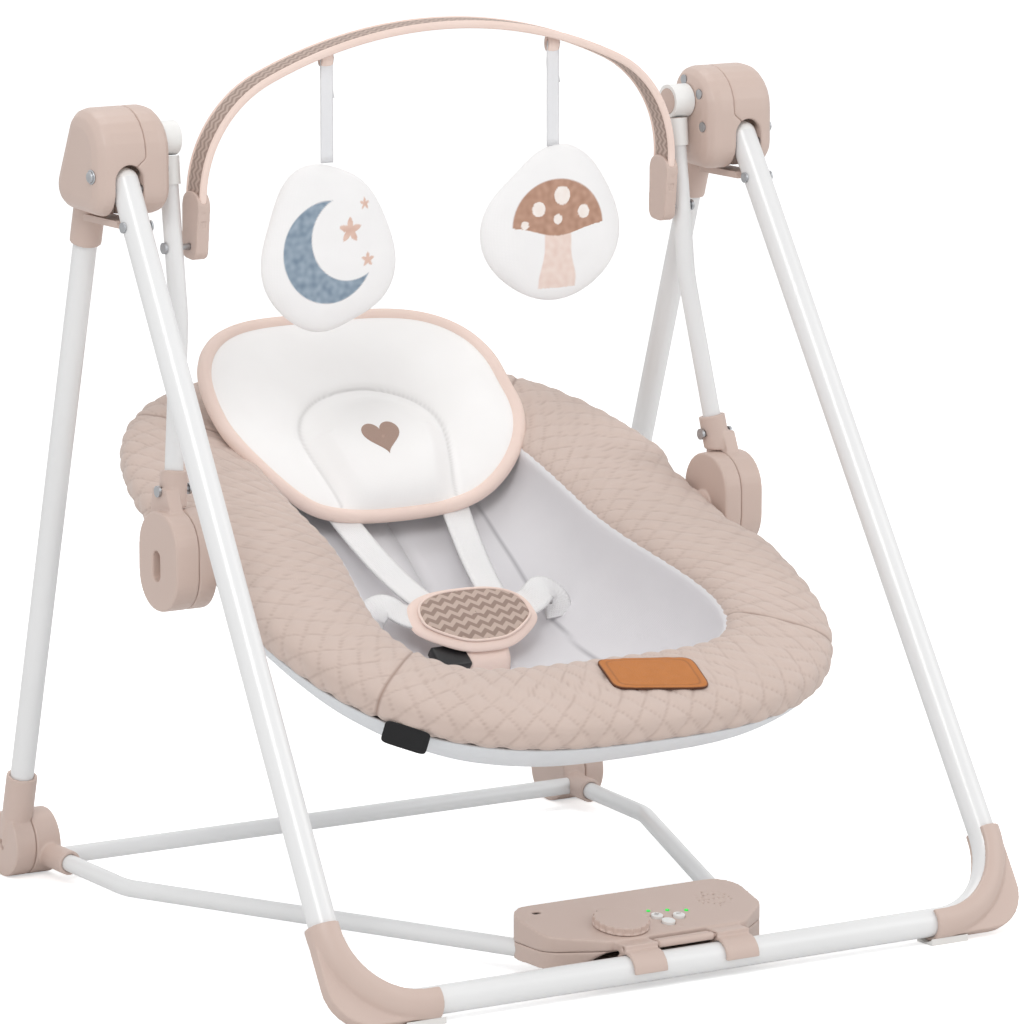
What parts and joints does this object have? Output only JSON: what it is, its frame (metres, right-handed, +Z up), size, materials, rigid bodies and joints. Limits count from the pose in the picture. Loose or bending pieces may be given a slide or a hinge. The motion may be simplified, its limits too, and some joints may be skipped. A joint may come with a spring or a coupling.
{
  "type": "baby swing",
  "caption": "Motorised baby swing: a quilted oval seat hangs on two bent arms from a folding tube stand, with a toy bar over it and a control case on the base.",
  "frame": {"origin": "on the floor, in the middle of the stand's width and depth", "axes": "+X to the seat's right-hand side as seen from the front, +Y to the back, +Z up"},
  "size_m": [0.626, 0.62, 0.6987],
  "materials": {
    "rear_leg_left": "gloss white enamel",
    "rear_leg_right": "gloss white enamel",
    "housing_outer_left": "satin moulded",
    "housing_outer_right": "satin moulded",
    "housing_inner_left": "satin moulded",
    "housing_inner_right": "satin moulded",
    "rear_hub_outer_left": "satin moulded",
    "rear_hub_outer_right": "satin moulded",
    "frame_hinge_pins": "zinc plated",
    "pivot_bushes": "satin moulded",
    "drive_coil": "enamelled winding",
    "frame_screws": "zinc plated",
    "front_leg_left": "gloss white enamel",
    "front_leg_right": "gloss white enamel",
    "front_crossbar": "gloss white enamel",
    "leg_end_caps": "satin moulded",
    "corner_cover_left": "satin moulded",
    "corner_cover_right": "satin moulded",
    "corner_pads": "soft matte",
    "leg_rivets": "zinc plated",
    "fold_catches": "satin moulded",
    "rear_crossbar": "gloss white enamel",
    "base_tube_left": "gloss white enamel",
    "base_tube_right": "gloss white enamel",
    "rear_hub_inner_left": "satin moulded",
    "rear_hub_inner_right": "satin moulded",
    "case_top": "satin moulded",
    "case_bottom": "satin moulded",
    "battery_door": "satin moulded",
    "circuit_board": "solder mask",
    "speaker": "plain",
    "batteries": "sleeved cells",
    "status_lights": "lit lens",
    "power_socket": "plain",
    "mode_dial": "satin moulded",
    "plus_button": "satin moulded",
    "minus_button": "satin moulded",
    "music_button": "satin moulded",
    "latch_bar": "satin moulded",
    "swing_arm_left": "gloss white enamel",
    "swing_arm_right": "gloss white enamel",
    "arm_knuckle_left": "satin moulded",
    "arm_knuckle_right": "satin moulded",
    "knuckle_caps": "satin moulded",
    "pivot_shafts": "zinc plated",
    "drive_magnet": "plain",
    "seat_hub_outer_left": "satin moulded",
    "seat_hub_outer_right": "satin moulded",
    "swing_bolts": "zinc plated",
    "seat_ring": "gloss white enamel",
    "seat_hub_inner_left": "satin moulded",
    "seat_hub_inner_right": "satin moulded",
    "seat_rim": "quilted satin",
    "seat_sling": "woven lining",
    "head_insert": "soft plush with peach binding",
    "harness": "woven webbing",
    "toy_bar_band": "satin moulded",
    "toy_bar_clips": "satin moulded",
    "toy_left": "printed plush",
    "toy_right": "printed plush"
  },
  "bodies": {
    "rear_frame": {"rear_leg_left": "rear_leg_left", "rear_leg_right": "rear_leg_right", "housing_outer_left": "housing_outer_left", "housing_outer_right": "housing_outer_right", "housing_inner_left": "housing_inner_left", "housing_inner_right": "housing_inner_right", "rear_hub_outer_left": "rear_hub_outer_left", "rear_hub_outer_right": "rear_hub_outer_right", "frame_hinge_pins": "frame_hinge_pins", "pivot_bushes": "pivot_bushes", "drive_coil": "drive_coil", "frame_screws": "frame_screws"},
    "front_frame": {"front_leg_left": "front_leg_left", "front_leg_right": "front_leg_right", "front_crossbar": "front_crossbar", "leg_end_caps": "leg_end_caps", "corner_cover_left": "corner_cover_left", "corner_cover_right": "corner_cover_right", "corner_pads": "corner_pads", "leg_rivets": "leg_rivets"},
    "fold_lock": {"fold_catches": "fold_catches"},
    "base_frame": {"rear_crossbar": "rear_crossbar", "base_tube_left": "base_tube_left", "base_tube_right": "base_tube_right", "rear_hub_inner_left": "rear_hub_inner_left", "rear_hub_inner_right": "rear_hub_inner_right", "case_top": "case_top", "case_bottom": "case_bottom", "battery_door": "battery_door", "circuit_board": "circuit_board", "speaker": "speaker", "batteries": "batteries", "status_lights": "status_lights", "power_socket": "power_socket"},
    "dial": {"mode_dial": "mode_dial"},
    "plus_key": {"plus_button": "plus_button"},
    "minus_key": {"minus_button": "minus_button"},
    "music_key": {"music_button": "music_button"},
    "latch": {"latch_bar": "latch_bar"},
    "swing": {"swing_arm_left": "swing_arm_left", "swing_arm_right": "swing_arm_right", "arm_knuckle_left": "arm_knuckle_left", "arm_knuckle_right": "arm_knuckle_right", "knuckle_caps": "knuckle_caps", "pivot_shafts": "pivot_shafts", "drive_magnet": "drive_magnet", "seat_hub_outer_left": "seat_hub_outer_left", "seat_hub_outer_right": "seat_hub_outer_right", "swing_bolts": "swing_bolts"},
    "seat": {"seat_ring": "seat_ring", "seat_hub_inner_left": "seat_hub_inner_left", "seat_hub_inner_right": "seat_hub_inner_right", "seat_rim": "seat_rim", "seat_sling": "seat_sling", "head_insert": "head_insert", "harness": "harness"},
    "toy_bar": {"toy_bar_band": "toy_bar_band", "toy_bar_clips": "toy_bar_clips"},
    "left_toy": {"toy_left": "toy_left"},
    "right_toy": {"toy_right": "toy_right"}
  },
  "joints": [
    {"name": "fold", "type": "hinge", "parent": "rear_frame", "child": "front_frame", "pos_m": [0, 0.0545, 0.584], "axis": [1, 0, 0], "range_deg": [0, 40]},
    {"name": "base_lift", "type": "hinge", "parent": "rear_frame", "child": "base_frame", "pos_m": [0, 0.2835, 0.0265], "axis": [-1, 0, 0], "range_deg": [0, 7]},
    {"name": "catch_drop", "type": "hinge", "parent": "rear_frame", "child": "fold_lock", "pos_m": [0, 0.1045, 0.5581], "axis": [1, 0, 0], "range_deg": [0, 80]},
    {"name": "swing_rock", "type": "hinge", "parent": "rear_frame", "child": "swing", "pos_m": [0, 0.0825, 0.618], "axis": [1, 0, 0], "range_deg": [-10, 10]},
    {"name": "seat_recline", "type": "hinge", "parent": "swing", "child": "seat", "pos_m": [0, 0.039, 0.293], "axis": [1, 0, 0], "range_deg": [-12, 0]},
    {"name": "toy_bar_tilt", "type": "hinge", "parent": "swing", "child": "toy_bar", "pos_m": [0, 0.07166, 0.534], "axis": [1, 0, 0], "range_deg": [-10, 30]},
    {"name": "left_toy_sway", "type": "hinge", "parent": "toy_bar", "child": "left_toy", "pos_m": [-0.104, 0.06161, 0.67321], "axis": [1, 0, 0], "range_deg": [-20, 20]},
    {"name": "right_toy_sway", "type": "hinge", "parent": "toy_bar", "child": "right_toy", "pos_m": [0.104, 0.06161, 0.67321], "axis": [1, 0, 0], "range_deg": [-20, 20]},
    {"name": "mode_turn", "type": "hinge", "parent": "base_frame", "child": "dial", "pos_m": [-0.037, -0.2587, 0.04058], "axis": [0, -0.1822, 0.9833], "range_deg": [-150, 150]},
    {"name": "plus_press", "type": "slide", "parent": "base_frame", "child": "plus_key", "axis": [0, 0.1822, -0.9833], "range_m": [0, 0.001]},
    {"name": "minus_press", "type": "slide", "parent": "base_frame", "child": "minus_key", "axis": [0, 0.1822, -0.9833], "range_m": [0, 0.001]},
    {"name": "music_press", "type": "slide", "parent": "base_frame", "child": "music_key", "axis": [0, 0.1822, -0.9833], "range_m": [0, 0.001]},
    {"name": "latch_lift", "type": "hinge", "parent": "base_frame", "child": "latch", "pos_m": [0, -0.2915, 0.0317], "axis": [1, 0, 0], "range_deg": [0, 15]}
  ],
  "couplings": [
    {"joint": "base_lift", "follows": "fold", "ratio": 0.175},
    {"joint": "catch_drop", "follows": "fold", "ratio": 2}
  ]
}
